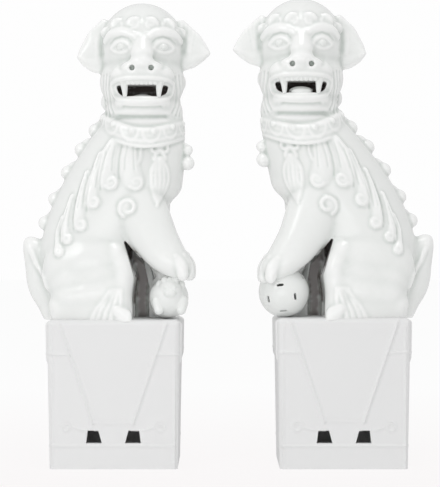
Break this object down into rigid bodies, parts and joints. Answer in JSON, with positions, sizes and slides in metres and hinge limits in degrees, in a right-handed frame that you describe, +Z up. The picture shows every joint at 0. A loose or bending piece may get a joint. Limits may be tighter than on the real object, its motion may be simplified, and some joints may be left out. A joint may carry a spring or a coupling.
{
  "type": "pair of guardian lion statues",
  "caption": "Mirrored seated guardian lions in white glazed porcelain on tall hollow plinths, heads turned to the viewer, raised paws resting on a cub and on a pierced ball.",
  "frame": {"origin": "on the table, midway between the two plinths and midway from the snouts to the plinth backs", "axes": "+X towards the statue with the ball, +Y away from the viewer that the heads face, +Z up"},
  "size_m": [0.358, 0.0902, 0.4073],
  "materials": {
    "white_glaze": "glossy white glaze with a faint cool tint, a little deeper where it pools"
  },
  "bodies": {
    "left_statue": {"left_plinth": "white_glaze", "left_torso": "white_glaze", "left_head": "white_glaze", "left_back_ear": "white_glaze", "left_chest_ear": "white_glaze", "left_eyes": "white_glaze", "left_upper_teeth": "white_glaze", "left_lower_teeth": "white_glaze", "left_tongue": "white_glaze", "left_brow_curls": "white_glaze", "left_nape_mane": "white_glaze", "left_collar": "white_glaze", "left_bells": "white_glaze", "left_near_tassel": "white_glaze", "left_far_tassel": "white_glaze", "left_near_mane_locks": "white_glaze", "left_far_mane_locks": "white_glaze", "left_spine_bosses": "white_glaze", "left_near_foreleg": "white_glaze", "left_far_foreleg": "white_glaze", "left_near_hind_leg": "white_glaze", "left_far_hind_leg": "white_glaze", "left_tail": "white_glaze", "left_cub": "white_glaze"},
    "right_statue": {"right_plinth": "white_glaze", "right_torso": "white_glaze", "right_head": "white_glaze", "right_back_ear": "white_glaze", "right_chest_ear": "white_glaze", "right_eyes": "white_glaze", "right_upper_teeth": "white_glaze", "right_lower_teeth": "white_glaze", "right_tongue": "white_glaze", "right_brow_curls": "white_glaze", "right_nape_mane": "white_glaze", "right_collar": "white_glaze", "right_bells": "white_glaze", "right_near_tassel": "white_glaze", "right_far_tassel": "white_glaze", "right_near_mane_locks": "white_glaze", "right_far_mane_locks": "white_glaze", "right_spine_bosses": "white_glaze", "right_near_foreleg": "white_glaze", "right_far_foreleg": "white_glaze", "right_near_hind_leg": "white_glaze", "right_far_hind_leg": "white_glaze", "right_tail": "white_glaze", "right_ball": "white_glaze"}
  },
  "joints": [
    {"name": "pair_spacing", "type": "slide", "parent": "left_statue", "child": "right_statue", "axis": [1, 0, 0], "range_m": [-0.018, 0.2]}
  ]
}
